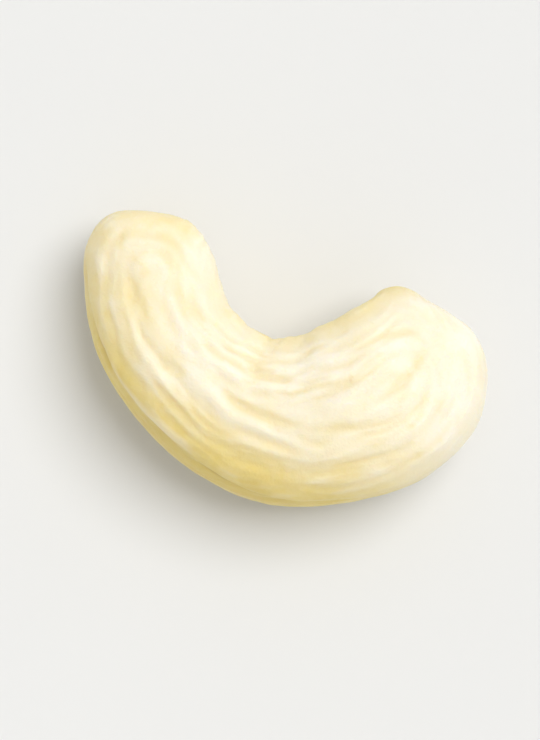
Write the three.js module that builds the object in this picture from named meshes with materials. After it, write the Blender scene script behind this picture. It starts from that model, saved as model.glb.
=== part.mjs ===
// Cashew kernel lying on its side: one grown piece, its two seed halves closed face to face.
//
// Lengths are in millimetres. +X runs along the kernel's longest extent towards its broad end, +Y from the
// rounded back towards the hollow side, and +Z up. The origin is under the middle of the kernel's box, on the
// surface that it rests on.

import * as THREE from "three";

// The crescent seen from above. Each rib crosses it from the back edge to the hollow edge, and gives half
// of the thickness there and the height of the seam plane, in order from the narrow tip to the broad one.
// The underside comes lowest on the third rib, between the sixth and the seventh, and on the tenth. What
// would reach below the surface there is pressed flat, so the kernel rests on three small flats.
const NARROW_TIP = { point: [-9.7, 7.35], seamHeight: 4.1 };
const BROAD_TIP = { point: [9.2, 6.95], seamHeight: 4.8 };
const RIBS = [
  { back: [-12.5, 6.2], hollow: [-6.9, 7.4], halfThickness: 2.5, seamHeight: 4.0 },
  { back: [-13.1, 4.1], hollow: [-5.2, 6.0], halfThickness: 3.5, seamHeight: 3.85 },
  { back: [-12.4, 1.8], hollow: [-4.2, 4.5], halfThickness: 3.9, seamHeight: 3.8 },
  { back: [-10.5, -1.7], hollow: [-3.1, 3.2], halfThickness: 4.15, seamHeight: 4.35 },
  { back: [-6.8, -4.9], hollow: [-1.6, 2.5], halfThickness: 4.4, seamHeight: 4.6 },
  { back: [-2.2, -7.0], hollow: [-0.2, 2.4], halfThickness: 4.6, seamHeight: 4.5 },
  { back: [2.6, -7.4], hollow: [1.2, 3.1], halfThickness: 4.7, seamHeight: 4.6 },
  { back: [7.3, -5.7], hollow: [2.6, 4.4], halfThickness: 4.8, seamHeight: 4.95 },
  { back: [11.1, -2.9], hollow: [3.9, 5.8], halfThickness: 4.75, seamHeight: 4.85 },
  { back: [13.0, 0.9], hollow: [4.9, 6.9], halfThickness: 4.3, seamHeight: 4.2 },
  { back: [12.7, 4.3], hollow: [6.0, 7.4], halfThickness: 3.1, seamHeight: 4.4 },
  { back: [11.2, 6.25], hollow: [7.3, 7.4], halfThickness: 1.6, seamHeight: 4.7 },
];

// The cross-section is an oval, a little fuller than an ellipse and fuller still towards the hollow side.
// It is thickest nearer the back.
const BACK_FULLNESS = 2.1;
const HOLLOW_FULLNESS = 2.5;
const BACKWARD_LEAN = 0.08;

// How finely the skin is divided, along the kernel and round it.
const RINGS_PER_RIB = 5;
const POINTS_ROUND = 84;
const EDGE_CROWDING = 0.2;

// The seam between the halves: a fine line along the back and a deeper groove along the hollow side. The
// back line rides up to the top face before the bend, and the half under it stands in a little there.
const BACK_SEAM = { depth: 0.14, halfWidth: 0.42, from: 0.9, to: 12.1 };
const SEAM_CLIMB = { turn: 0.5, centre: 5, reach: 3.2 };
const SEAM_STEP = { height: 0.12, reach: 1.6 };
const HOLLOW_GROOVE = { depth: 0.55, halfWidth: 0.75, from: 0.9, to: 9.6 };
const GROOVE_LIPS = { height: 0.12, halfWidth: 0.8, fromGroove: 1.7 };

// A line or a patch of relief fades in and out over this share of a rib to either side of its ends, and
// nothing but the nub and the pit is left at the very tips.
const FADE = 0.5;
const BARE_TIP = 1.5;

// The germ's blunt nub, which stands out of the end of the hollow groove at the broad end.
const GERM_NUB = { centre: [6.0, 7.4, 4.4], radius: 1.5, height: 0.25 };

// The small pit at the broad tip, where the kernel was fed through its skin.
const FEED_PIT = { centre: [10.4, 6.4, 3.8], radius: 0.8, depth: 0.22 };

// Low ridges that run along both faces, mostly on their outer side, fading out towards the two ends.
// Their pitch is a share of half the kernel's width, and inside and outside are shares of it too.
const FACE_RIDGES = { height: 0.07, pitch: 0.34, inside: -0.6, outside: 0.1, from: 2.2, to: 11.2 };
const RIDGE_WANDER = { turn: 0.35, perRib: 1.3 };

// Puckers across the tight inner bend.
const BEND_PUCKERS = { height: 0.08, perRib: 0.9, centre: 6.2, reach: 2.4, outside: 0.2, inside: 0.9 };

// Slow swellings, as any grown thing has.
const SWELLING = { height: 0.1, acrossPerRib: 0.9, roundPerRib: 0.7, roundTurns: 1.1, skew: 2 };

const KERNEL_COLOUR = 0xf1dfae;
const KERNEL_ROUGHNESS = 0.55;

// The short step, in ribs and in radians, over which the skin's slope is taken.
const NORMAL_STEP = 0.01;

const RIB_SPANS = RIBS.length + 1;

/** A point in the plane of the crescent, with half the thickness there as its third coordinate. */
function edgePoint([x, y], halfThickness) {
  return new THREE.Vector3(x, y, halfThickness);
}

// One closed curve goes along the back and returns along the hollow side. The thickness is negative on the
// way back, so that it passes smoothly through nothing at both tips, and the tips come out round.
const edgeLoop = new THREE.CatmullRomCurve3(
  [
    edgePoint(NARROW_TIP.point, 0),
    ...RIBS.map((rib) => edgePoint(rib.back, rib.halfThickness)),
    edgePoint(BROAD_TIP.point, 0),
    ...RIBS.toReversed().map((rib) => edgePoint(rib.hollow, -rib.halfThickness)),
  ],
  true,
);

const seamHeights = new THREE.CatmullRomCurve3(
  [NARROW_TIP, ...RIBS, BROAD_TIP].map((stop, index) => new THREE.Vector3(index, 0, stop.seamHeight)),
);

/** The kernel's cross-section at a place along it, counted in ribs from the narrow tip. */
function sectionAt(along) {
  const back = edgeLoop.getPoint(along / (2 * RIB_SPANS));
  const hollow = edgeLoop.getPoint(1 - along / (2 * RIB_SPANS));
  return {
    centre: new THREE.Vector2((back.x + hollow.x) / 2, (back.y + hollow.y) / 2),
    towardsBack: new THREE.Vector2((back.x - hollow.x) / 2, (back.y - hollow.y) / 2),
    halfThickness: back.z,
    seamHeight: seamHeights.getPoint(along / RIB_SPANS).z,
  };
}

/** The given number raised to a power with its sign kept. */
function signedPower(value, power) {
  return Math.sign(value) * Math.abs(value) ** power;
}

/** A point of the smooth skin. The turn is 0 at the back edge, a quarter on top, a half in the hollow. */
function smoothSkin(along, turn) {
  const section = sectionAt(along);
  const fullness = Math.cos(turn) > 0 ? BACK_FULLNESS : HOLLOW_FULLNESS;
  const rise = signedPower(Math.sin(turn), 2 / fullness);
  const across = signedPower(Math.cos(turn), 2 / fullness) + BACKWARD_LEAN * rise * rise;
  return new THREE.Vector3(
    section.centre.x + section.towardsBack.x * across,
    section.centre.y + section.towardsBack.y * across,
    section.seamHeight + section.halfThickness * rise,
  );
}

/** The skin's outward direction, from two short steps along it. */
function skinNormal(along, turn) {
  const step = NORMAL_STEP;
  const forward = smoothSkin(along + step, turn).sub(smoothSkin(along - step, turn));
  const round = smoothSkin(along, turn + step).sub(smoothSkin(along, turn - step));
  return forward.cross(round).normalize();
}

/** A bell of height 1 that falls away on both sides of 0 within about two widths. */
function bell(distance, width) {
  return Math.exp(-((distance / width) ** 2));
}

/** 1 between two places along the kernel, fading to 0 at either. */
function stretch(along, { from, to }) {
  return THREE.MathUtils.smoothstep(along, from - FADE, from + FADE)
    * (1 - THREE.MathUtils.smoothstep(along, to - FADE, to + FADE));
}

/** The signed angle from a direction to a turn, between minus half a turn and half a turn. */
function angleFrom(direction, turn) {
  return Math.atan2(Math.sin(turn - direction), Math.cos(turn - direction));
}

/** The fine line along the back and the step beside it. */
function backSeamHeight(along, turn, halfThickness) {
  const seamTurn = SEAM_CLIMB.turn * bell(along - SEAM_CLIMB.centre, SEAM_CLIMB.reach);
  const fromSeam = halfThickness * angleFrom(seamTurn, turn);
  const line = BACK_SEAM.depth * bell(fromSeam, BACK_SEAM.halfWidth);
  const step = fromSeam < 0 ? SEAM_STEP.height * bell(fromSeam, SEAM_STEP.reach) : 0;
  return -(line + step) * stretch(along, BACK_SEAM);
}

/** The groove along the hollow side and the lips that swell beside it. */
function hollowGrooveHeight(along, turn, halfThickness) {
  const fromGroove = halfThickness * angleFrom(Math.PI, turn);
  const groove = HOLLOW_GROOVE.depth * bell(fromGroove, HOLLOW_GROOVE.halfWidth);
  const fromLip = Math.abs(fromGroove) - GROOVE_LIPS.fromGroove;
  const lips = GROOVE_LIPS.height * bell(fromLip, GROOVE_LIPS.halfWidth);
  return (lips - groove) * stretch(along, HOLLOW_GROOVE);
}

/** The ridges that run along the two faces. */
function faceRidgeHeight(along, turn) {
  const across = Math.cos(turn);
  const onFace = Math.sin(turn) ** 2
    * THREE.MathUtils.smoothstep(across, FACE_RIDGES.inside, FACE_RIDGES.outside);
  const wander = RIDGE_WANDER.turn * Math.sin(RIDGE_WANDER.perRib * along);
  const wave = Math.cos((2 * Math.PI * across) / FACE_RIDGES.pitch + wander);
  return FACE_RIDGES.height * wave * onFace * stretch(along, FACE_RIDGES);
}

/** The puckers that cross the inner bend, shifted from one half to the other. */
function puckerHeight(along, turn) {
  const inBend = THREE.MathUtils.smoothstep(-Math.cos(turn), BEND_PUCKERS.outside, BEND_PUCKERS.inside);
  const wave = Math.cos(2 * Math.PI * BEND_PUCKERS.perRib * along + Math.sign(Math.sin(turn)));
  return BEND_PUCKERS.height * wave * inBend * bell(along - BEND_PUCKERS.centre, BEND_PUCKERS.reach);
}

/** The slow swellings of the two faces. */
function swellingHeight(along, turn) {
  const acrossWave = Math.sin(SWELLING.acrossPerRib * along + SWELLING.skew * Math.sin(turn));
  const roundWave = Math.sin(SWELLING.roundTurns * turn + SWELLING.roundPerRib * along);
  return SWELLING.height * acrossWave * roundWave * Math.sin(turn) ** 2;
}

/** A round rise about a given point. */
function moundHeight(place, { centre, radius }) {
  return bell(place.distanceTo(new THREE.Vector3(...centre)), radius);
}

/** How far the skin stands out from its smooth form. */
function reliefHeight(along, turn, place) {
  const { halfThickness } = sectionAt(along);
  const tipFade = THREE.MathUtils.smoothstep(along, 0, BARE_TIP)
    * THREE.MathUtils.smoothstep(RIB_SPANS - along, 0, BARE_TIP);
  const lines = backSeamHeight(along, turn, halfThickness)
    + hollowGrooveHeight(along, turn, halfThickness)
    + faceRidgeHeight(along, turn)
    + puckerHeight(along, turn)
    + swellingHeight(along, turn);
  return tipFade * lines
    + GERM_NUB.height * moundHeight(place, GERM_NUB)
    - FEED_PIT.depth * moundHeight(place, FEED_PIT);
}

/** A point of the finished skin, kept on or above the surface that the kernel rests on. */
function skin(along, turn) {
  const place = smoothSkin(along, turn);
  place.addScaledVector(skinNormal(along, turn), reliefHeight(along, turn, place));
  place.z = Math.max(place.z, 0);
  return place;
}

/** The closed skin: rings of points from tip to tip, with one point at each tip. */
function kernelGeometry() {
  const ringCount = RIB_SPANS * RINGS_PER_RIB - 1;
  const positions = [...NARROW_TIP.point, NARROW_TIP.seamHeight];
  for (let ring = 1; ring <= ringCount; ring += 1) {
    for (let index = 0; index < POINTS_ROUND; index += 1) {
      const evenTurn = (2 * Math.PI * index) / POINTS_ROUND;
      const turn = evenTurn - (EDGE_CROWDING / 2) * Math.sin(2 * evenTurn);
      positions.push(...skin(ring / RINGS_PER_RIB, turn));
    }
  }
  positions.push(...BROAD_TIP.point, BROAD_TIP.seamHeight);

  const broadTip = ringCount * POINTS_ROUND + 1;
  const onRing = (ring, index) => 1 + (ring - 1) * POINTS_ROUND + (index % POINTS_ROUND);
  const faces = [];
  for (let index = 0; index < POINTS_ROUND; index += 1) {
    faces.push(0, onRing(1, index), onRing(1, index + 1));
    for (let ring = 1; ring < ringCount; ring += 1) {
      const [near, nearNext] = [onRing(ring, index), onRing(ring, index + 1)];
      const [far, farNext] = [onRing(ring + 1, index), onRing(ring + 1, index + 1)];
      faces.push(near, far, farNext, near, farNext, nearNext);
    }
    faces.push(broadTip, onRing(ringCount, index + 1), onRing(ringCount, index));
  }

  const geometry = new THREE.BufferGeometry();
  geometry.setAttribute("position", new THREE.Float32BufferAttribute(positions, 3));
  geometry.setIndex(faces);
  geometry.computeBoundingBox();
  const middle = geometry.boundingBox.getCenter(new THREE.Vector3());
  geometry.translate(-middle.x, -middle.y, 0);
  geometry.computeVertexNormals();
  return geometry;
}

const kernel = new THREE.Mesh(
  kernelGeometry(),
  new THREE.MeshStandardMaterial({ color: KERNEL_COLOUR, roughness: KERNEL_ROUGHNESS, metalness: 0 }),
);
kernel.name = "kernel";

const part = new THREE.Group();
part.add(kernel);

export default part;
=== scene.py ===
"""Looks of a cashew kernel: one plump pale crescent, lying on its side on a pale floor.

Lengths are named in millimetres, as they are measured on the nut, and turned into metres where a mesh is
made. A place on the skin has two numbers: along, counted in ribs from the narrow tip, and turn, the angle
round the kernel in radians, 0 at its back edge and a quarter turn on top.
"""

import logging
import math
from collections.abc import Iterable
from dataclasses import dataclass, field
from enum import Enum, IntEnum

import bmesh
import bpy
import numpy as np
from mathutils import Matrix, Vector, kdtree, noise


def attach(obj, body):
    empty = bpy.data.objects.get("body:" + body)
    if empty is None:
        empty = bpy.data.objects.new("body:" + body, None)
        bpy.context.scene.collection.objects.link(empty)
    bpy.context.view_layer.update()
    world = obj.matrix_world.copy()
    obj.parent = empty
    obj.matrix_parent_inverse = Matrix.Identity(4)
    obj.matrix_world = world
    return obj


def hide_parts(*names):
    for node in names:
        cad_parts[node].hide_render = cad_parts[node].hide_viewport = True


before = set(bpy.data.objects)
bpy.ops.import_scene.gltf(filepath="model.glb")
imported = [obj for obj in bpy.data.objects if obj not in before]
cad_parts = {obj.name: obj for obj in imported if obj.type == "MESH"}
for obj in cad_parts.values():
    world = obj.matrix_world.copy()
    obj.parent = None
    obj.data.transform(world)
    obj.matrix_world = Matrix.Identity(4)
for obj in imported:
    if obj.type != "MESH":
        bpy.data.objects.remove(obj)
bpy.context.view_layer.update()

MM = 0.001
NODE = "kernel"
BODY = "root"

# The turns of the two edges, and about how many millimetres lie between two ribs.
BACK_EDGE = 0.0
HOLLOW_EDGE = math.pi
PER_RIB = 2.6

# How far a seed of 1 moves the noise along each axis.
NOISE_STEPS = (1.0, 1.7, -2.3)

Pair = tuple[float, float]
Colour = tuple[float, float, float]
Socket = bpy.types.NodeSocket

log = logging.getLogger("cashew")


class Mark(Enum):
    """The numbers that each point of the skin carries."""

    ALONG = "along"
    TURN_COS = "turn_cos"
    TURN_SIN = "turn_sin"
    # painted shade: how deep each point lies in the seam line, the cleft or a dent
    HOLLOWS = "hollow_shade"
    # painted highlight on the crests of the folds and ridges, and painted shade in their furrows
    CRESTS = "ridge_light_and_shade"
    # partly the flesh's yellower edges, partly painted shade on the back edge and the hollow side
    BACK = "back"
    TIPS = "tips"


PLACE_MARKS = (Mark.ALONG, Mark.TURN_COS, Mark.TURN_SIN)


class Tone(Enum):
    """The colours of the flesh, as shares of the light that they give back."""

    CREAM = (0.88, 0.805, 0.615)
    PALE = (0.91, 0.855, 0.745)
    YELLOW = (0.8, 0.635, 0.18)
    OCHRE = (0.48, 0.29, 0.09)


class MixSocket(IntEnum):
    """Where a Mix node has its colour sockets, by number, because others on it have the same names."""

    SHARE = 0
    BASE = 6
    OVER = 7
    RESULT = 2


def only(thing: bpy.types.Object) -> None:
    """Select one object alone and make it the active one.

    Args:
        thing: The object to work on.
    """
    bpy.ops.object.select_all(action="DESELECT")
    thing.select_set(True)
    bpy.context.view_layer.objects.active = thing


def bell(distance: np.ndarray, width: float | np.ndarray) -> np.ndarray:
    """Give a bell of height 1 about distance 0.

    Args:
        distance: How far from the bell's middle.
        width: Where the bell has fallen to about a third.

    Returns:
        The bell's height at each distance.
    """
    return np.exp(-((distance / width) ** 2))


def smooth_step(value: np.ndarray, low: float, high: float) -> np.ndarray:
    """Rise smoothly from 0 to 1.

    Args:
        value: Where to take the rise.
        low: Where it starts.
        high: Where it ends.

    Returns:
        The rise at each value.
    """
    share = np.clip((value - low) / (high - low), 0.0, 1.0)
    return share * share * (3.0 - 2.0 * share)


def angle_from(direction: np.ndarray | float, turn: np.ndarray) -> np.ndarray:
    """Measure the angle from a direction to a turn.

    Args:
        direction: The angle to measure from, in radians.
        turn: The angles to measure to, in radians.

    Returns:
        The signed angles between, at most half a turn either way.
    """
    return np.arctan2(np.sin(turn - direction), np.cos(turn - direction))


def grain(points: np.ndarray, size: float, seed: float) -> np.ndarray:
    """Take smooth noise at points.

    Args:
        points: The points, one a row.
        size: The length over which the noise changes, in the points' unit.
        seed: Which noise to take.

    Returns:
        The noise at each point, about -1 to 1.
    """
    start = Vector([seed * step for step in NOISE_STEPS])
    return np.array([noise.noise(Vector(point) / size + start) for point in points])


@dataclass(frozen=True)
class Rib:
    """One crossing of the crescent, from its back edge to its hollow edge, in millimetres."""

    back: Pair
    hollow: Pair
    half_thickness: float
    height: float

    @property
    def centre(self) -> Vector:
        """The middle of the crossing."""
        x, y = ((back + hollow) / 2 for back, hollow in zip(self.back, self.hollow))
        return Vector((x, y, self.height))

    @property
    def half_width(self) -> float:
        """Half the way from edge to edge."""
        return math.dist(self.back, self.hollow) / 2

    @property
    def heading(self) -> float:
        """The direction from the hollow edge to the back edge, seen from above."""
        return math.atan2(self.back[1] - self.hollow[1], self.back[0] - self.hollow[0])


# The ribs from the narrow tip to the broad one, and a smaller one between each end rib and its tip.
RIBS = (
    Rib((-12.5, 6.2), (-6.9, 7.4), 2.5, 4.0),
    Rib((-13.1, 4.1), (-5.2, 6.0), 3.5, 3.85),
    Rib((-12.4, 1.8), (-4.2, 4.5), 3.9, 3.8),
    Rib((-10.5, -1.7), (-3.1, 3.2), 4.15, 4.35),
    Rib((-6.8, -4.9), (-1.6, 2.5), 4.4, 4.6),
    Rib((-2.2, -7.0), (-0.2, 2.4), 4.6, 4.5),
    Rib((2.6, -7.4), (1.2, 3.1), 4.7, 4.6),
    Rib((7.3, -5.7), (2.6, 4.4), 4.8, 4.95),
    Rib((11.1, -2.9), (3.9, 5.8), 4.75, 4.85),
    Rib((13.0, 0.9), (4.9, 6.9), 4.3, 4.2),
    Rib((12.7, 4.3), (6.0, 7.4), 3.1, 4.4),
    Rib((11.2, 6.25), (7.3, 7.4), 1.6, 4.7),
)
NARROW_CAP = Rib((-11.6, 6.95), (-7.9, 7.55), 1.5, 4.05)
BROAD_CAP = Rib((10.3, 6.75), (8.1, 7.35), 0.8, 4.75)

# Their places along the kernel: the ribs stand at 1, 2, 3 and so on, and the tips at 0 and LAST.
LAST = len(RIBS) + 1
NARROW_CAP_PLACE = 0.5
BROAD_CAP_PLACE = LAST - 0.5


@dataclass
class Skin:
    """The skin's points while it is sculpted, in millimetres, and where each lies on the kernel.

    inward is the way in from the nearer edge, seen from above. per_turn is how much skin a radian spans.
    above_seam is the height above the plane in which the two halves meet.
    """

    points: np.ndarray
    normals: np.ndarray
    along: np.ndarray
    turn: np.ndarray
    edges: np.ndarray
    rounding: float = 0.7
    even_rounds: int = 120
    edge_reach: float = 0.02
    inward: np.ndarray = field(init=False)
    per_turn: np.ndarray = field(init=False)
    above_seam: np.ndarray = field(init=False)

    def __post_init__(self) -> None:
        """Measure each point's way in from the edges and up from the seam, and what a radian spans."""
        near = sum(np.exp(-self._from_edge(edge) / self.rounding) for edge in (BACK_EDGE, HOLLOW_EDGE))
        self.inward = self.soften(-self.rounding * np.log(near), self.even_rounds)
        places = (NARROW_CAP_PLACE, *range(1, LAST), BROAD_CAP_PLACE)
        ribs = (NARROW_CAP, *RIBS, BROAD_CAP)
        radii = (0.0, *(rib.half_thickness for rib in ribs), 0.0)
        self.per_turn = np.interp(self.along, (0.0, *places, LAST), radii)
        self.above_seam = self.points[:, 2] - np.interp(self.along, places, [rib.height for rib in ribs])

    @property
    def on_back(self) -> np.ndarray:
        """Whether each point lies on the back half of its rib."""
        return np.cos(self.turn) > 0

    @property
    def from_broad_tip(self) -> np.ndarray:
        """Each point's way from the broad tip, in ribs."""
        return LAST - self.along

    def away_from_tips(self, low: float, high: float) -> np.ndarray:
        """Rise from 0 at low ribs from either tip to 1 at high ribs from it."""
        return smooth_step(self.along, low, high) * smooth_step(self.from_broad_tip, low, high)

    def soften(self, values: np.ndarray, rounds: int) -> np.ndarray:
        """Even out a number over the skin.

        Args:
            values: The number at each point.
            rounds: How many times each point takes its neighbours' average.

        Returns:
            The evened number at each point.
        """
        ends, starts = self.edges.T
        count = len(values)
        neighbours = np.bincount(ends, minlength=count) + np.bincount(starts, minlength=count)
        for _ in range(rounds):
            total = np.bincount(ends, values[starts], count) + np.bincount(starts, values[ends], count)
            values = (values + total / neighbours) / 2
        return values

    def _from_edge(self, edge: float) -> np.ndarray:
        """Measure the way from an edge, seen from above.

        Args:
            edge: The edge's turn.

        Returns:
            Each point's distance from the edge, in millimetres.
        """
        on_edge = self.points[np.abs(angle_from(edge, self.turn)) < self.edge_reach]
        tree = kdtree.KDTree(len(on_edge))
        for index, (x, y, _) in enumerate(on_edge):
            tree.insert((x, y, 0.0), index)
        tree.balance()
        return np.array([tree.find((x, y, 0.0))[2] for x, y, _ in self.points])


class Relief:
    """Something raised from the skin or sunk into it."""

    def height(self, skin: Skin) -> np.ndarray:
        """Give the height above the plain skin at each point, in millimetres."""
        raise NotImplementedError


@dataclass(frozen=True)
class SeamLine(Relief):
    """The fine line where the two halves meet: along the back, and over the narrow tip to the cleft."""

    depth: float = 0.1
    half_width: float = 0.17
    climb: float = 0.5
    climb_centre: float = 5.0
    climb_reach: float = 3.2
    even_rounds: int = 80
    wander: float = 0.12
    wander_size: float = 1.6
    wander_seed: float = 4.1
    plain_share: float = 0.7
    broken_share: float = 0.6
    break_size: float = 1.7
    break_seed: float = 5.1
    broad_fade: float = 1.4
    narrow_cap: Pair = (0.8, 2.2)
    cleft_start: Pair = (0.9, 2.4)

    def distance(self, skin: Skin) -> np.ndarray:
        """Measure the way from the line: round the kernel on its back, and straight up elsewhere.

        Args:
            skin: The skin.

        Returns:
            Each point's signed distance from the line, in millimetres.
        """
        climb = self.climb * bell(skin.along - self.climb_centre, self.climb_reach)
        around = angle_from(skin.soften(climb, self.even_rounds), skin.turn) * skin.per_turn
        over_cap = np.where(skin.on_back, 1.0 - smooth_step(skin.along, *self.narrow_cap), 1.0)
        wander = self.wander * grain(skin.points, self.wander_size, self.wander_seed)
        return (1.0 - over_cap) * around + over_cap * skin.above_seam + wander

    def height(self, skin: Skin) -> np.ndarray:
        """Sink a fine line that is faint here and there and fades at the broad tip.

        Args:
            skin: The skin.

        Returns:
            The height at each point, in millimetres.
        """
        breaks = grain(skin.points, self.break_size, self.break_seed)
        strength = self.plain_share + self.broken_share * breaks
        strength *= smooth_step(skin.from_broad_tip, 0.0, self.broad_fade)
        strength *= np.where(skin.on_back, 1.0, 1.0 - smooth_step(skin.along, *self.cleft_start))
        return -self.depth * strength * bell(self.distance(skin), self.half_width)


@dataclass(frozen=True)
class HollowCleft(Relief):
    """The narrow open line at the bottom of the groove on the hollow side."""

    depth: float = 0.16
    half_width: float = 0.16
    start: float = 1.2
    end: float = 10.0
    fade: float = 1.4
    wander: float = 0.12
    wander_size: float = 1.5
    wander_seed: float = 9.3

    def height(self, skin: Skin) -> np.ndarray:
        """Sink a crooked line along the middle of the hollow side.

        Args:
            skin: The skin.

        Returns:
            The height at each point, in millimetres.
        """
        wander = self.wander * grain(skin.points, self.wander_size, self.wander_seed)
        distance = angle_from(HOLLOW_EDGE, skin.turn) * skin.per_turn + wander
        ends = smooth_step(skin.along, self.start, self.start + self.fade)
        ends *= smooth_step(self.end - skin.along, 0.0, self.fade)
        return -self.depth * ends * bell(distance, self.half_width) * ~skin.on_back


@dataclass(frozen=True)
class FineRidges(Relief):
    """Faint broken ridges that follow the outline: along the limbs, and in arcs round the ends."""

    ridge_height: float = 0.055
    pitch: float = 0.92
    patch_size: float = 1.9
    patch_range: Pair = (-0.25, 0.45)
    patch_seed: float = 5.6
    streak_height: float = 0.11
    streak_length: float = 2.6
    streak_width: float = 0.46
    streak_limit: float = 1.2
    streak_seed: float = 7.6
    finer_share: float = 0.4
    finer_size: float = 0.55
    finer_seed: float = 8.6
    face_shift: float = 3.0
    side_height: float = 0.05
    side_seed: float = 10.6
    side_shift: float = 2.6
    wander: float = 0.4
    wander_size: float = 2.6
    wander_seed: float = 2.6
    quiet: float = 0.35
    bend_centre: float = 6.0
    bend_reach: float = 3.0
    edge_fade: Pair = (0.1, 1.0)
    cleft_fade: Pair = (0.05, 0.4)
    tip_fade: Pair = (0.0, 0.8)

    def height(self, skin: Skin) -> np.ndarray:
        """Raise ridges and streaks on both faces, most at the bend, and fainter streaks on the sides.

        Args:
            skin: The skin.

        Returns:
            The height at each point, in millimetres.
        """
        inward = skin.inward + self.wander * grain(skin.points, self.wander_size, self.wander_seed)
        lengthwise = skin.along * PER_RIB / self.streak_length
        bend = self.quiet + (1.0 - self.quiet) * bell(skin.along - self.bend_centre, self.bend_reach)
        on_face = smooth_step(inward, *self.edge_fade)
        sides = self._on_sides(skin, lengthwise) * (1.0 - on_face) * skin.away_from_tips(*self.tip_fade)
        return bend * self._on_faces(skin, inward, lengthwise) * on_face + sides

    def _on_faces(self, skin: Skin, inward: np.ndarray, lengthwise: np.ndarray) -> np.ndarray:
        """Raise lines that keep their distance from the edges: ridges in patches, and streaks between.

        Args:
            skin: The skin.
            inward: The way in from the edges, a little crooked, in millimetres.
            lengthwise: The place along the kernel, in streaks.

        Returns:
            The height at each point, in millimetres.
        """
        patches = smooth_step(grain(skin.points, self.patch_size, self.patch_seed), *self.patch_range)
        ridges = self.ridge_height * patches * np.cos(2 * math.pi * inward / self.pitch)
        face = self.face_shift * np.sign(skin.turn)
        places = np.column_stack((lengthwise, inward / self.streak_width, face))
        streaks = grain(places, 1.0, self.streak_seed)
        streaks += self.finer_share * grain(places, self.finer_size, self.finer_seed)
        streaks *= self.streak_height * (self.streak_limit - patches)
        return ridges + streaks

    def _on_sides(self, skin: Skin, lengthwise: np.ndarray) -> np.ndarray:
        """Raise lines that keep their turn, and leave the cleft free.

        Args:
            skin: The skin.
            lengthwise: The place along the kernel, in streaks.

        Returns:
            The height at each point, in millimetres.
        """
        around = skin.turn * skin.per_turn / self.streak_width
        from_cleft = np.abs(angle_from(HOLLOW_EDGE, skin.turn))
        places = np.column_stack((lengthwise, around, np.full(len(around), self.side_shift)))
        streaks = self.side_height * grain(places, 1.0, self.side_seed)
        return streaks * smooth_step(from_cleft, *self.cleft_fade)


@dataclass(frozen=True)
class Fold:
    """One long low fold: a path of (along, turn in degrees), a height and half a width, in millimetres."""

    path: tuple[Pair, ...]
    height: float
    half_width: float


# The folds of the upper face, each placed one by one; the sunk ones have a height below 0.
FACE_FOLDS = (
    Fold(((5.45, 84), (5.9, 77), (6.5, 75.5), (7.1, 72)), 0.15, 0.42),
    Fold(((5.5, 92), (6.0, 87), (6.6, 84), (7.2, 81)), -0.15, 0.30),
    Fold(((5.8, 97), (6.2, 92), (6.8, 90), (7.3, 89)), 0.06, 0.40),
    Fold(((7.1, 63), (7.5, 62), (8.2, 64)), 0.12, 0.45),
    Fold(((7.3, 79), (7.9, 76), (8.3, 73), (8.8, 70), (9.35, 70)), -0.08, 0.30),
    Fold(((5.2, 60), (5.6, 65), (6.0, 62), (6.5, 60)), -0.1, 0.40),
    Fold(((6.2, 47), (6.6, 50), (7.2, 47)), -0.1, 0.50),
    Fold(((4.35, 60), (4.65, 62), (4.95, 66)), 0.12, 0.50),
    Fold(((4.55, 73), (4.8, 76), (5.05, 79)), -0.11, 0.35),
    Fold(((1.2, 46), (1.7, 47)), 0.07, 0.50),
    Fold(((2.3, 46), (2.9, 47)), 0.09, 0.50),
    Fold(((3.3, 52), (3.6, 56)), 0.07, 0.45),
    Fold(((1.6, 64), (2.5, 66)), -0.06, 0.32),
    Fold(((2.8, 70), (3.3, 74), (3.9, 77)), -0.1, 0.35),
    Fold(((1.3, 103), (2.0, 107), (2.8, 109)), -0.08, 0.70),
    Fold(((3.2, 108), (3.7, 112), (4.4, 118)), -0.11, 0.35),
    Fold(((1.4, 128), (2.2, 132), (3.0, 132)), 0.09, 0.60),
    Fold(((4.2, 96), (4.7, 92), (5.1, 96)), 0.1, 0.35),
    Fold(((5.2, 108), (5.6, 103), (5.9, 101)), 0.06, 0.35),
    Fold(((3.9, 30), (4.3, 31)), -0.08, 0.45),
    Fold(((5.9, 119), (6.1, 113)), -0.09, 0.30),
    Fold(((6.5, 113), (6.9, 110)), -0.08, 0.30),
    Fold(((5.0, 122), (5.3, 114)), -0.06, 0.35),
    Fold(((8.0, 104), (8.25, 101)), -0.08, 0.30),
    Fold(((7.8, 92), (8.2, 92)), 0.07, 0.35),
    Fold(((9.0, 121), (9.5, 118), (10.1, 111)), -0.09, 0.32),
    Fold(((8.4, 85), (9.0, 87), (9.6, 91), (9.95, 96)), -0.1, 0.32),
    Fold(((8.85, 43), (9.0, 42)), -0.07, 0.30),
    Fold(((7.35, 42), (7.8, 44)), 0.05, 0.40),
    Fold(((8.1, 47), (8.5, 44)), 0.07, 0.40),
    Fold(((3.7, 38), (4.3, 42), (5.0, 45)), -0.08, 0.40),
    Fold(((4.2, 30), (4.9, 35), (5.9, 37), (6.6, 34)), 0.09, 0.40),
)


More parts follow.
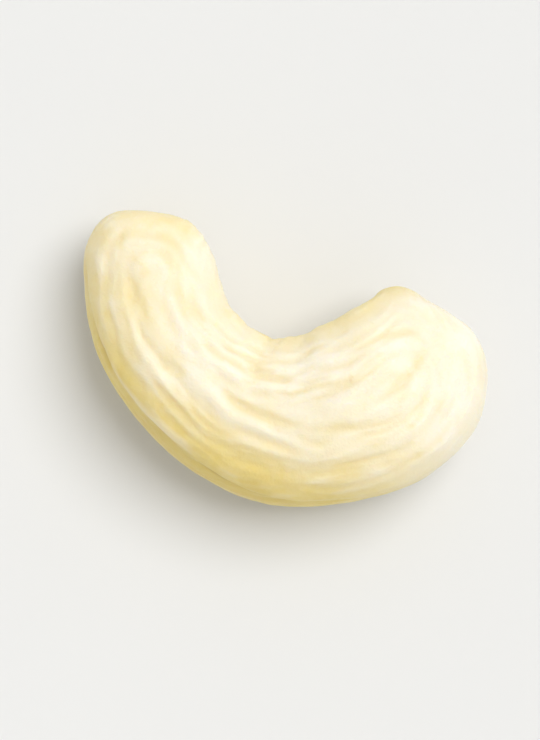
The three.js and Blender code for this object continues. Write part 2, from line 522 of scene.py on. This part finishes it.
@dataclass(frozen=True)
class Folds(Relief):
    """The folds that show from a step away, and their fainter, shifted likes on the other face."""

    folds: tuple[Fold, ...] = FACE_FOLDS
    samples: int = 40
    even_rounds: int = 6
    per_turn: float = 4.0
    reach_along: float = 1.2
    reach_round: float = 0.7
    shortest: float = 1e-9
    blunt: float = 0.03
    under_share: float = 0.8
    under_shift: float = 0.45
    wander: float = 0.12
    wander_size: float = 1.3
    seed: float = 7.7

    def height(self, skin: Skin) -> np.ndarray:
        """Raise or sink the skin along each fold's path.

        Args:
            skin: The skin.

        Returns:
            The height at each point, in millimetres.
        """
        total = np.zeros(len(skin.along))
        shaken = skin.points + self.wander * np.column_stack(
            [grain(skin.points, self.wander_size, self.seed + axis) for axis in range(3)])
        for fold in self.folds:
            along, turn = np.array(fold.path).T
            turn = np.radians(turn)
            total += fold.height * self._profile(skin, shaken, along, turn, fold.half_width)
            total += self.under_share * fold.height * self._profile(
                skin, shaken, along + self.under_shift, -turn, fold.half_width)
        return total

    def _profile(self, skin: Skin, shaken: np.ndarray, along: np.ndarray, turn: np.ndarray,
                 half_width: float) -> np.ndarray:
        """Give one fold's profile, 1 on its line and 0 away from it.

        Args:
            skin: The skin.
            shaken: The skin's points, moved a little so that the line isn't drawn with a ruler.
            along: The path's places along the kernel.
            turn: The path's angles, in radians.
            half_width: Where the profile has fallen to about a third, in millimetres.

        Returns:
            The profile at each point.
        """
        near = np.abs(skin.along - along.mean()) < np.ptp(along) / 2 + self.reach_along
        near &= np.abs(angle_from(turn.mean(), skin.turn)) < np.ptp(turn) / 2 + self.reach_round
        index = np.flatnonzero(near)
        line = self._line(skin, index, along, turn)
        pieces = np.diff(line, axis=0)
        lengths = np.maximum(np.sum(pieces**2, axis=1), self.shortest)
        offsets = shaken[index][:, None] - line[None, :-1]
        part = np.clip(np.sum(offsets * pieces, axis=2) / lengths, 0.0, 1.0)
        gaps = np.linalg.norm(offsets - part[..., None] * pieces, axis=2)
        nearest = np.argmin(gaps, axis=1)
        rows = np.arange(len(index))
        place = (nearest + part[rows, nearest]) / (self.samples - 1)
        taper = np.sqrt(np.sin(math.pi * np.clip(place, self.blunt, 1.0 - self.blunt)))
        profile = np.zeros(len(skin.along))
        profile[index] = bell(gaps[rows, nearest], half_width) * taper
        return profile

    def _line(self, skin: Skin, index: np.ndarray, along: np.ndarray, turn: np.ndarray) -> np.ndarray:
        """Lay a path on the skin as a smooth line.

        Args:
            skin: The skin.
            index: The numbers of the points near the path.
            along: The path's places along the kernel.
            turn: The path's angles, in radians.

        Returns:
            The line's points, one a row, in millimetres.
        """
        share = np.linspace(0.0, 1.0, self.samples)
        knots = np.linspace(0.0, 1.0, len(along))
        places = np.column_stack((np.interp(share, knots, along), np.interp(share, knots, turn)))
        metric = np.array((PER_RIB, self.per_turn))
        here = np.column_stack((skin.along[index], skin.turn[index])) * metric
        nearest = [index[np.argmin(np.sum((here - place * metric) ** 2, axis=1))] for place in places]
        line = skin.points[nearest]
        for _ in range(self.even_rounds):
            line[1:-1] = (line[:-2] + 2.0 * line[1:-1] + line[2:]) / 4
        return line


@dataclass(frozen=True)
class BendWrinkles(Relief):
    """Fine crossways wrinkles where the skin bends in at the hollow."""

    wrinkle_height: float = 0.03
    waves_per_rib: float = 2.3
    shift: float = 0.35
    shift_size: float = 2.0
    seed: float = 6.2
    centre: float = 6.0
    reach: float = 2.2
    spread: float = 0.8

    def height(self, skin: Skin) -> np.ndarray:
        """Raise short waves round the inside of the bend.

        Args:
            skin: The skin.

        Returns:
            The height at each point, in millimetres.
        """
        shift = self.shift * grain(skin.points, self.shift_size, self.seed)
        wave = np.cos(2 * math.pi * (skin.along + shift) * self.waves_per_rib)
        inside = bell(angle_from(HOLLOW_EDGE, skin.turn), self.spread)
        return self.wrinkle_height * wave * inside * bell(skin.along - self.centre, self.reach)


@dataclass(frozen=True)
class Dents(Relief):
    """Small shallow dents, a little longer than wide, scattered over the skin."""

    count: int = 150
    radii: Pair = (0.18, 0.6)
    depth_share: float = 0.085
    stretch: float = 1.7
    tip_fade: Pair = (0.4, 1.4)
    seed: int = 11

    def height(self, skin: Skin) -> np.ndarray:
        """Sink each dent at a place and to a size picked by the seed.

        Args:
            skin: The skin.

        Returns:
            The height at each point, in millimetres.
        """
        pick = np.random.default_rng(self.seed)
        least, most = zip((0.0, LAST), (-math.pi, math.pi), self.radii)
        total = np.zeros(len(skin.along))
        for along, turn, radius in pick.uniform(least, most, (self.count, len(least))):
            lengthwise = (skin.along - along) * PER_RIB / self.stretch
            crosswise = angle_from(turn, skin.turn) * skin.per_turn
            total -= radius * self.depth_share * bell(np.hypot(lengthwise, crosswise), radius)
        return total * skin.away_from_tips(*self.tip_fade)


@dataclass(frozen=True)
class Unevenness(Relief):
    """The slight lumpiness of the flesh, at three sizes, each with its height."""

    layers: tuple[Pair, ...] = ((2.6, 0.055), (1.1, 0.03), (0.48, 0.014))
    seed: float = 3.7

    def height(self, skin: Skin) -> np.ndarray:
        """Add noise of each size."""
        return sum(height * grain(skin.points, size, self.seed + size) for size, height in self.layers)


@dataclass(frozen=True)
class Tinting:
    """Where the flesh is yellower, darker or paler, as numbers noted on the skin for its material: painted
    shade in the seam, cleft and dents, painted highlights on the crests and painted shade in the furrows,
    and along the edges a yellower flesh with painted shade over it.

    Depths and heights, in millimetres, are those that count as full. Places are in ribs.
    """

    seam_depth: float = 0.13
    cleft_depth: float = 0.16
    dent_depth: float = 0.05
    dent_share: float = 0.15
    crest_height: float = 0.1
    back_share: float = 1.05
    back_reach: float = 1.2
    hollow_share: float = 0.7
    hollow_reach: float = 0.75
    broad_end: Pair = (6.5, 10.5)
    broad_back_loss: float = 0.93
    narrow_end: Pair = (2.0, 5.4)
    narrow_back_loss: float = 0.5
    narrow_hollow_loss: float = 0.6
    narrow_spread: float = 0.4
    tip_fade: Pair = (0.2, 1.6)
    narrow_tip: float = 2.0
    broad_tip: float = 0.8

    def marks(self, skin: Skin, parts: dict[type[Relief], np.ndarray]) -> dict[Mark, np.ndarray]:
        """Work out every number that the material reads.

        Args:
            skin: The skin.
            parts: The height that each relief has at each point, in millimetres.

        Returns:
            The numbers at each point, by mark.
        """
        # The seam line, the cleft and the dents get painted shade: the deeper the point, the more ochre.
        hollow_shade = -parts[SeamLine] / self.seam_depth - parts[HollowCleft] / self.cleft_depth
        hollow_shade -= self.dent_share * parts[Dents] / self.dent_depth
        return {
            Mark.HOLLOWS: hollow_shade,
            # Crests of folds and ridges get a painted highlight, their furrows painted shade.
            Mark.CRESTS: (parts[Folds] + parts[FineRidges]) / self.crest_height,
            # The back edge and the hollow side: a yellower flesh, with painted shade where they turn from
            # the light.
            Mark.BACK: self._edge_yellow_and_shade(skin),
            Mark.TIPS: bell(skin.along, self.narrow_tip) + bell(skin.from_broad_tip, self.broad_tip),
        }

    def _edge_yellow_and_shade(self, skin: Skin) -> np.ndarray:
        """Say how much each point is yellowed on the back edge and deep in the hollow side: partly the
        flesh's own yellower tone, partly painted shade where these sides turn from the light.

        Args:
            skin: The skin.

        Returns:
            The number at each point, about 0 to 1.
        """
        broad = smooth_step(skin.along, *self.broad_end)
        narrow = 1.0 - smooth_step(skin.along, *self.narrow_end)
        back = bell(angle_from(BACK_EDGE, skin.turn), self.back_reach + self.narrow_spread * narrow)
        back *= self.back_share - self.broad_back_loss * broad - self.narrow_back_loss * narrow
        hollow = bell(angle_from(HOLLOW_EDGE, skin.turn), self.hollow_reach)
        hollow *= self.hollow_share - self.narrow_hollow_loss * narrow
        return (back + hollow) * skin.away_from_tips(*self.tip_fade)


@dataclass
class Bench:
    """Adds nodes to one material and joins them."""

    tree: bpy.types.NodeTree

    def add(self, kind: str, **settings: object) -> bpy.types.Node:
        """Add a node.

        Args:
            kind: The node's type.
            settings: Values for its properties, or for its input sockets where no property has the name.

        Returns:
            The new node.
        """
        node = self.tree.nodes.new(kind)
        for name, value in settings.items():
            if hasattr(node, name):
                setattr(node, name, value)
            else:
                node.inputs[name.replace("_", " ")].default_value = value
        return node

    def join(self, source: Socket, target: Socket) -> None:
        """Join an output to an input."""
        self.tree.links.new(source, target)

    def mark(self, mark: Mark) -> Socket:
        """Read a number that the skin carries."""
        return self.add("ShaderNodeAttribute", attribute_name=mark.value).outputs["Fac"]

    def noise(self, size: float, detail: float = 3.0, roughness: float = 0.55) -> Socket:
        """Take noise fixed to the object.

        Args:
            size: The length over which it changes, in millimetres.
            detail: How much finer noise is added.
            roughness: How strong the finer noise is.

        Returns:
            The noise, 0 to 1.
        """
        node = self.add("ShaderNodeTexNoise", Scale=1 / (size * MM), Detail=detail, Roughness=roughness)
        self.join(self.add("ShaderNodeTexCoord").outputs["Object"], node.inputs["Vector"])
        return node.outputs["Fac"]

    def fit(self, value: Socket, start: Pair, end: Pair = (0.0, 1.0)) -> Socket:
        """Map a range of a number smoothly onto another range, clamped at its ends.

        Args:
            value: The number.
            start: The range that it has.
            end: The range that it gets.

        Returns:
            The mapped number.
        """
        node = self.add("ShaderNodeMapRange", interpolation_type="SMOOTHSTEP")
        read, *bounds = node.inputs[:5]
        for socket, bound in zip(bounds, (*start, *end)):
            socket.default_value = bound
        self.join(value, read)
        return node.outputs[0]

    def plus(self, first: Socket, second: Socket, share: float) -> Socket:
        """Add a share of one number to another.

        Args:
            first: The number that is added to.
            second: The number that is added.
            share: How much of it is added.

        Returns:
            The sum.
        """
        node = self.add("ShaderNodeMath", operation="MULTIPLY_ADD")
        multiplied, factor, added = node.inputs[:3]
        self.join(second, multiplied)
        factor.default_value = share
        self.join(first, added)
        return node.outputs[0]

    def tint(self, base: Socket | Colour, over: Colour, share: Socket) -> Socket:
        """Lay a colour over another.

        Args:
            base: The colour below.
            over: The colour laid over it.
            share: How much of it shows, 0 to 1.

        Returns:
            The mixed colour.
        """
        node = self.add("ShaderNodeMix", data_type="RGBA")
        self.join(share, node.inputs[MixSocket.SHARE])
        if isinstance(base, tuple):
            node.inputs[MixSocket.BASE].default_value = (*base, 1.0)
        else:
            self.join(base, node.inputs[MixSocket.BASE])
        node.inputs[MixSocket.OVER].default_value = (*over, 1.0)
        return node.outputs[MixSocket.RESULT]


@dataclass(frozen=True)
class Stain:
    """A tone that comes in over the flesh as a number goes from start to full, at most by its share."""

    tone: Tone
    start: float
    full: float
    share: float = 1.0


@dataclass(frozen=True)
class NutFlesh:
    """Dry, waxy, slightly see-through nut flesh: pale cream, yellower on the back partly by its own tone
    and partly by painted shade, with painted shade in every hollow and painted highlights and shade on the
    ridges.
    """

    clouds: tuple[Stain, ...] = (Stain(Tone.PALE, 0.32, 0.68),)
    # The back stains are partly the flesh's own yellower edge and partly painted shade, the ochre most of
    # all.
    back: tuple[Stain, ...] = (Stain(Tone.YELLOW, 0.35, 1.25, 0.92), Stain(Tone.OCHRE, 0.95, 1.45, 0.2))
    # The streak stains are painted light: paler on the crests, yellower in the furrows.
    streaks: tuple[Stain, ...] = (Stain(Tone.PALE, 0.0, 1.0, 0.4), Stain(Tone.YELLOW, 0.2, -1.0, 0.3))
    tips: tuple[Stain, ...] = (Stain(Tone.YELLOW, 0.75, 1.85, 0.6), Stain(Tone.OCHRE, 1.3, 2.1, 0.1))
    # Ochre laid in the seam line, the cleft and the dents is painted shade.
    hollow_shade: tuple[Stain, ...] = (Stain(Tone.OCHRE, 0.15, 1.3, 0.62),)
    specks: tuple[Stain, ...] = (Stain(Tone.YELLOW, 0.62, 0.78, 0.12),)
    cloud_size: float = 3.2
    patch_size: float = 1.6
    patch_detail: float = 4.0
    patches_on_back: float = 0.6
    patches_on_tips: float = 1.3
    speck_size: float = 0.42
    fine_detail: float = 2.0
    roughness: Pair = (0.42, 0.56)
    roughness_noise: Pair = (0.3, 0.7)
    roughness_size: float = 0.9
    pore_size: float = 0.16
    pit_size: float = 0.5
    pit_share: float = 1.6
    pore_height: float = 0.035
    depth_of_light: float = 0.6
    reach_of_light: Colour = (1.0, 0.86, 0.55)
    bending_of_light: float = 1.45
    shine: float = 0.42

    def material(self) -> bpy.types.Material:
        """Build the flesh's material.

        Returns:
            The material, which reads the skin's marks and object coordinates.
        """
        material = bpy.data.materials.new("cashew_flesh")
        material.use_nodes = True
        bench = Bench(material.node_tree)
        shader = material.node_tree.nodes["Principled BSDF"]
        bench.join(self._colour(bench), shader.inputs["Base Color"])
        waxing = bench.fit(bench.noise(self.roughness_size), self.roughness_noise, self.roughness)
        bench.join(waxing, shader.inputs["Roughness"])
        bench.join(self._pores(bench), shader.inputs["Normal"])
        shader.inputs["Subsurface Weight"].default_value = 1.0
        shader.inputs["Subsurface Radius"].default_value = self.reach_of_light
        shader.inputs["Subsurface Scale"].default_value = self.depth_of_light * MM
        shader.inputs["IOR"].default_value = self.bending_of_light
        shader.inputs["Specular IOR Level"].default_value = self.shine
        return material

    def _colour(self, bench: Bench) -> Socket:
        """Lay every stain, painted shade and painted highlight over the cream, each by its own number on
        the skin.

        Args:
            bench: The material's bench.

        Returns:
            The finished colour.
        """
        clouds = bench.noise(self.cloud_size, detail=self.patch_detail)
        patches = bench.noise(self.patch_size, detail=self.patch_detail)
        # Painted light among these layers: highlights and shade on the ridges, shade in the hollows, and
        # shade on the back over its yellower tone.
        layers = (
            (clouds, self.clouds),
            (bench.plus(bench.mark(Mark.BACK), patches, self.patches_on_back), self.back),
            (bench.mark(Mark.CRESTS), self.streaks),
            (bench.plus(bench.mark(Mark.TIPS), patches, self.patches_on_tips), self.tips),
            (bench.mark(Mark.HOLLOWS), self.hollow_shade),
            (bench.noise(self.speck_size, detail=self.fine_detail), self.specks),
        )
        colour = Tone.CREAM.value
        for number, stains in layers:
            for stain in stains:
                share = bench.fit(number, (stain.start, stain.full), (0.0, stain.share))
                colour = bench.tint(colour, stain.tone.value, share)
        return colour

    def _pores(self, bench: Bench) -> Socket:
        """Roughen the surface with pores and shallow pits.

        Args:
            bench: The material's bench.

        Returns:
            The roughened normal.
        """
        pores = bench.noise(self.pore_size, detail=self.fine_detail)
        pits = bench.noise(self.pit_size, detail=self.fine_detail)
        bump = bench.add("ShaderNodeBump", Strength=1.0, Distance=self.pore_height * MM)
        bench.join(bench.plus(pores, pits, self.pit_share), bump.inputs["Height"])
        return bump.outputs["Normal"]


@dataclass(frozen=True)
class PaleBoard:
    """The matt near-white surface that the kernel lies on."""

    white: Colour = (0.76, 0.76, 0.75)
    shade: Colour = (0.74, 0.74, 0.73)
    shade_size: float = 30.0
    roughness: float = 0.7
    shine: float = 0.2

    def material(self) -> bpy.types.Material:
        """Build the surface's material: white with a faint unevenness.

        Returns:
            The material.
        """
        material = bpy.data.materials.new("pale_board")
        material.use_nodes = True
        bench = Bench(material.node_tree)
        shader = material.node_tree.nodes["Principled BSDF"]
        colour = bench.tint(self.white, self.shade, bench.noise(self.shade_size))
        bench.join(colour, shader.inputs["Base Color"])
        shader.inputs["Roughness"].default_value = self.roughness
        shader.inputs["Specular IOR Level"].default_value = self.shine
        return material


@dataclass
class CashewKernel:
    """The nut: rings drawn along the crescent, rounded, laid on the solid's form, and sculpted."""

    name: str = "cashew_kernel"
    corners: int = 26
    tip_rise: float = 0.2
    levels: int = 4
    form_levels: int = 2
    form_weld: float = 0.001
    wrap_reach: float = 1.5
    settle_share: float = 0.5
    settle_rounds: int = 4
    reliefs: tuple[Relief, ...] = (
        SeamLine(), HollowCleft(), Folds(), FineRidges(), BendWrinkles(), Dents(), Unevenness())
    tinting: Tinting = field(default_factory=Tinting)
    flesh: NutFlesh = field(default_factory=NutFlesh)

    def build(self) -> bpy.types.Object:
        """Build, sculpt and dress the kernel.

        Returns:
            The finished piece.
        """
        piece = self._cage()
        self._round_off(piece, self.levels)
        self._wrap(piece)
        self._sculpt(piece)
        piece.data.materials.append(self.flesh.material())
        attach(piece, BODY)
        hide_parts(NODE)
        return piece

    def _cage(self) -> bpy.types.Object:
        """Draw a ring of corners along all ribs and close both tips.

        Returns:
            The coarse cage, its place in its mesh.
        """
        first = RIBS[0]
        bpy.ops.object.select_all(action="DESELECT")
        bpy.ops.mesh.primitive_circle_add(
            vertices=self.corners, radius=MM, location=first.centre * MM,
            rotation=(math.pi / 2, 0.0, first.heading))
        piece = bpy.context.active_object
        piece.name = piece.data.name = self.name
        piece.scale = (first.half_width, first.half_thickness, 1.0)
        bpy.ops.object.transform_apply(location=True, rotation=True, scale=True)
        for mark in PLACE_MARKS:
            piece.data.attributes.new(mark.value, "FLOAT", "POINT")
        bpy.ops.object.mode_set(mode="EDIT")
        self._note_turns(piece, first)
        for along, (rib, to) in enumerate(zip(RIBS, RIBS[1:]), start=2):
            self._draw_on(piece, rib, to, float(along))
        self._draw_on(piece, RIBS[-1], BROAD_CAP, BROAD_CAP_PLACE)
        self._close(piece, float(LAST))
        self._pick_ring(piece, 1.0)
        self._draw_on(piece, RIBS[0], NARROW_CAP, NARROW_CAP_PLACE)
        self._close(piece, 0.0)
        bpy.ops.mesh.select_all(action="SELECT")
        bpy.ops.mesh.normals_make_consistent(inside=False)
        # Extruding leaves the faces in an order that changes from run to run, so all is sorted.
        bpy.ops.mesh.sort_elements(type="CURSOR_DISTANCE", elements={"VERT", "EDGE", "FACE"})
        bpy.ops.object.mode_set(mode="OBJECT")
        return piece

    def _note_turns(self, piece: bpy.types.Object, rib: Rib) -> None:
        """Note each corner's turn on the first ring; every ring drawn from it keeps them.

        Args:
            piece: The cage, in edit mode, with only its first ring.
            rib: The ring's rib.
        """
        mesh = bmesh.from_edit_mesh(piece.data)
        layers = mesh.verts.layers.float
        across = Vector((math.cos(rib.heading), math.sin(rib.heading), 0.0))
        for corner in mesh.verts:
            outward = corner.co / MM - rib.centre
            corner[layers[Mark.ALONG.value]] = 1.0
            corner[layers[Mark.TURN_COS.value]] = outward.dot(across) / rib.half_width
            corner[layers[Mark.TURN_SIN.value]] = outward.z / rib.half_thickness
        bmesh.update_edit_mesh(piece.data)

    def _draw_on(self, piece: bpy.types.Object, rib: Rib, to: Rib, along: float) -> None:
        """Extrude the selected ring to another rib: turn it straight, resize it, turn it to its heading.

        With no window, the rotate operator turns the other way, so both signs are reversed.

        Args:
            piece: The cage, in edit mode.
            rib: Where the ring lies.
            to: Where the new ring goes.
            along: The new ring's place along the kernel.
        """
        centre = to.centre * MM
        bpy.ops.mesh.extrude_region_move(TRANSFORM_OT_translate={"value": (to.centre - rib.centre) * MM})
        bpy.ops.transform.rotate(value=rib.heading, orient_axis="Z", center_override=centre)
        growth = (to.half_width / rib.half_width, 1.0, to.half_thickness / rib.half_thickness)
        bpy.ops.transform.resize(value=growth, center_override=centre)
        bpy.ops.transform.rotate(value=-to.heading, orient_axis="Z", center_override=centre)
        self._note_along(piece, along)

    def _close(self, piece: bpy.types.Object, along: float) -> None:
        """Close the selected ring with a last, single corner.

        Args:
            piece: The cage, in edit mode.
            along: The corner's place along the kernel.
        """
        bpy.ops.mesh.extrude_region_move(TRANSFORM_OT_translate={"value": (0.0, self.tip_rise * MM, 0.0)})
        bpy.ops.mesh.merge(type="CENTER")
        self._note_along(piece, along)

    def _note_along(self, piece: bpy.types.Object, along: float) -> None:
        """Note the place along the kernel of the selected corners.

        Args:
            piece: The cage, in edit mode.
            along: The place to note.
        """
        mesh = bmesh.from_edit_mesh(piece.data)
        layer = mesh.verts.layers.float[Mark.ALONG.value]
        for corner in mesh.verts:
            if corner.select:
                corner[layer] = along
        bmesh.update_edit_mesh(piece.data)

    def _pick_ring(self, piece: bpy.types.Object, along: float) -> None:
        """Select only the ring at a place along the kernel.

        Args:
            piece: The cage, in edit mode.
            along: The ring's place.
        """
        bpy.ops.mesh.select_all(action="DESELECT")
        mesh = bmesh.from_edit_mesh(piece.data)
        layer = mesh.verts.layers.float[Mark.ALONG.value]
        for corner in mesh.verts:
            corner.select = corner[layer] == along
        mesh.select_flush(True)
        bmesh.update_edit_mesh(piece.data)

    def _round_off(self, thing: bpy.types.Object, levels: int) -> None:
        """Subdivide a mesh into a smooth skin.

        Args:
            thing: The object to round.
            levels: How many times each face is quartered.
        """
        only(thing)
        rounding = thing.modifiers.new("rounding", "SUBSURF")
        rounding.levels = rounding.render_levels = levels
        bpy.ops.object.modifier_apply(modifier=rounding.name)

    def _form(self) -> bpy.types.Object:
        """Copy the solid node, join its loose triangles and round it.

        Returns:
            The copy, which serves only as the form that the skin is laid on.
        """
        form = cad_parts[NODE].copy()
        form.data = form.data.copy()
        bpy.context.collection.objects.link(form)
        form.hide_set(False)
        only(form)
        bpy.ops.object.mode_set(mode="EDIT")
        bpy.ops.mesh.select_all(action="SELECT")
        bpy.ops.mesh.remove_doubles(threshold=self.form_weld * MM)
        bpy.ops.object.mode_set(mode="OBJECT")
        self._round_off(form, self.form_levels)
        return form

    def _wrap(self, piece: bpy.types.Object) -> None:
        """Lay the skin on the form of the solid node and let it settle.

        Args:
            piece: The smooth skin.
        """
        form = self._form()
        only(piece)
        project = piece.modifiers.new("project", "SHRINKWRAP")
        project.target = form
        project.wrap_method = "PROJECT"
        project.use_negative_direction = True
        project.project_limit = self.wrap_reach * MM
        bpy.ops.object.modifier_apply(modifier=project.name)
        touch = piece.modifiers.new("touch", "SHRINKWRAP")
        touch.target = form
        bpy.ops.object.modifier_apply(modifier=touch.name)
        settle = piece.modifiers.new("settle", "SMOOTH")
        settle.factor = self.settle_share
        settle.iterations = self.settle_rounds
        bpy.ops.object.modifier_apply(modifier=settle.name)
        mesh = form.data
        bpy.data.objects.remove(form)
        bpy.data.meshes.remove(mesh)

    def _sculpt(self, piece: bpy.types.Object) -> None:
        """Raise and sink the fine relief, keep the feet flat, and note what the material reads.

        Args:
            piece: The wrapped skin.
        """
        mesh = piece.data
        skin = self._skin(mesh)
        parts = {type(relief): relief.height(skin) for relief in self.reliefs}
        points = skin.points + skin.normals * sum(parts.values())[:, None]
        points[:, 2] = np.maximum(points[:, 2], 0.0)
        mesh.vertices.foreach_set("co", (points * MM).ravel())
        for mark, values in self.tinting.marks(skin, parts).items():
            mesh.attributes.new(mark.value, "FLOAT", "POINT").data.foreach_set("value", values)
        mesh.update()
        mesh.shade_smooth()

    def _skin(self, mesh: bpy.types.Mesh) -> Skin:
        """Read the skin's points and places from its mesh.

        Args:
            mesh: The wrapped skin's mesh.

        Returns:
            The skin, in millimetres.
        """
        count = len(mesh.vertices)
        points = np.empty((count, 3))
        mesh.vertices.foreach_get("co", points.ravel())
        normals = np.empty((count, 3))
        mesh.vertex_normals.foreach_get("vector", normals.ravel())
        values = {mark: np.empty(count) for mark in PLACE_MARKS}
        for mark in PLACE_MARKS:
            mesh.attributes[mark.value].data.foreach_get("value", values[mark])
        turn = np.arctan2(values[Mark.TURN_SIN], values[Mark.TURN_COS])
        edges = np.empty((len(mesh.edges), 2), dtype=np.int32)
        mesh.edges.foreach_get("vertices", edges.ravel())
        return Skin(points / MM, normals, values[Mark.ALONG], turn, edges)


@dataclass
class Studio:
    """A white bowl of a floor, one broad soft light, an even glow, and the camera above the nut.

    Angles are in degrees. The rim gives the radius and height of each ring of the bowl.
    """

    floor_radius: float = 300.0
    floor_sides: int = 96
    rim: tuple[Pair, ...] = ((430.0, 12.0), (580.0, 70.0), (720.0, 200.0), (800.0, 420.0))
    board: PaleBoard = field(default_factory=PaleBoard)
    key_strength: float = 2.03
    key_spread: float = 38.0
    key_height: float = 62.0
    key_direction: float = 52.0
    key_above: float = 500.0
    glow: float = 0.56
    glow_colour: Colour = (1.0, 0.995, 0.98)
    lens: float = 150.0
    frame_height: float = 45.0
    slope: float = 18.0
    lean: float = 3.0
    aim: tuple[float, float, float] = (0.0, 0.3, 4.0)
    nearest: float = 10.0
    farthest: float = 5000.0

    def floor(self) -> bpy.types.Object:
        """Lay a flat round floor and draw its rim up into a bowl.

        Returns:
            The floor.
        """
        bpy.ops.object.select_all(action="DESELECT")
        bpy.ops.mesh.primitive_circle_add(
            vertices=self.floor_sides, radius=self.floor_radius * MM, fill_type="NGON")
        floor = bpy.context.active_object
        floor.name = floor.data.name = "floor"
        bpy.ops.object.mode_set(mode="EDIT")
        bpy.ops.mesh.select_all(action="SELECT")
        bpy.ops.mesh.region_to_loop()
        radius, height = self.floor_radius, 0.0
        for next_radius, next_height in self.rim:
            rise = (0.0, 0.0, (next_height - height) * MM)
            bpy.ops.mesh.extrude_edges_move(TRANSFORM_OT_translate={"value": rise})
            share = next_radius / radius
            centre = (0.0, 0.0, next_height * MM)
            bpy.ops.transform.resize(value=(share, share, 1.0), center_override=centre)
            radius, height = next_radius, next_height
        bpy.ops.mesh.select_all(action="SELECT")
        bpy.ops.mesh.normals_make_consistent(inside=True)
        bpy.ops.object.mode_set(mode="OBJECT")
        floor.data.shade_smooth()
        floor.data.materials.append(self.board.material())
        return floor

    def lights(self) -> bpy.types.Object:
        """Hang the soft light and fill the room with an even glow.

        Returns:
            The light.
        """
        bpy.ops.object.select_all(action="DESELECT")
        tilt = math.radians(90.0 - self.key_height)
        bearing = math.radians(self.key_direction + 90.0)
        above = (0.0, 0.0, self.key_above * MM)
        bpy.ops.object.light_add(type="SUN", location=above, rotation=(tilt, 0.0, bearing))
        key = bpy.context.active_object
        key.name = "soft_light"
        key.data.energy = self.key_strength
        key.data.angle = math.radians(self.key_spread)
        world = bpy.data.worlds.new("glow")
        world.use_nodes = True
        sky = world.node_tree.nodes["Background"]
        sky.inputs["Color"].default_value = (*self.glow_colour, 1.0)
        sky.inputs["Strength"].default_value = self.glow
        bpy.context.scene.world = world
        return key

    def camera(self) -> bpy.types.Object:
        """Hang the camera over the nut, turned so that the nut slopes in the picture.

        Returns:
            The camera.
        """
        slope, lean = math.radians(self.slope), math.radians(self.lean)
        right = Vector((math.cos(slope), math.sin(slope), 0.0))
        away = Vector((-math.sin(slope), math.cos(slope), 0.0))
        back = Vector((0.0, 0.0, 1.0)) * math.cos(lean) - away * math.sin(lean)
        up = back.cross(right)
        data = bpy.data.cameras.new("camera")
        data.lens = self.lens
        data.clip_start = self.nearest * MM
        data.clip_end = self.farthest * MM
        distance = self.frame_height * self.lens / data.sensor_width
        camera = bpy.data.objects.new("camera", data)
        bpy.context.collection.objects.link(camera)
        axes = Matrix((right, up, back)).transposed().to_4x4()
        camera.matrix_world = Matrix.Translation((Vector(self.aim) + back * distance) * MM) @ axes
        bpy.context.scene.camera = camera
        bpy.context.scene.view_settings.view_transform = "Standard"
        return camera


def report(things: Iterable[bpy.types.Object]) -> None:
    """Log what each finished thing is and how many faces it has.

    Args:
        things: The finished objects.
    """
    for thing in things:
        faces = len(thing.data.polygons) if thing.type == "MESH" else 0
        log.info("%s: %s, %d faces", thing.name, thing.type.lower(), faces)


def main() -> None:
    """Build the kernel and its studio, and log what each finished thing is and how many faces it has."""
    logging.basicConfig(level=logging.INFO, format="%(name)s: %(message)s")
    kernel = CashewKernel().build()
    studio = Studio()
    report((kernel, studio.floor(), studio.lights(), studio.camera()))


if __name__ == "__main__":
    main()
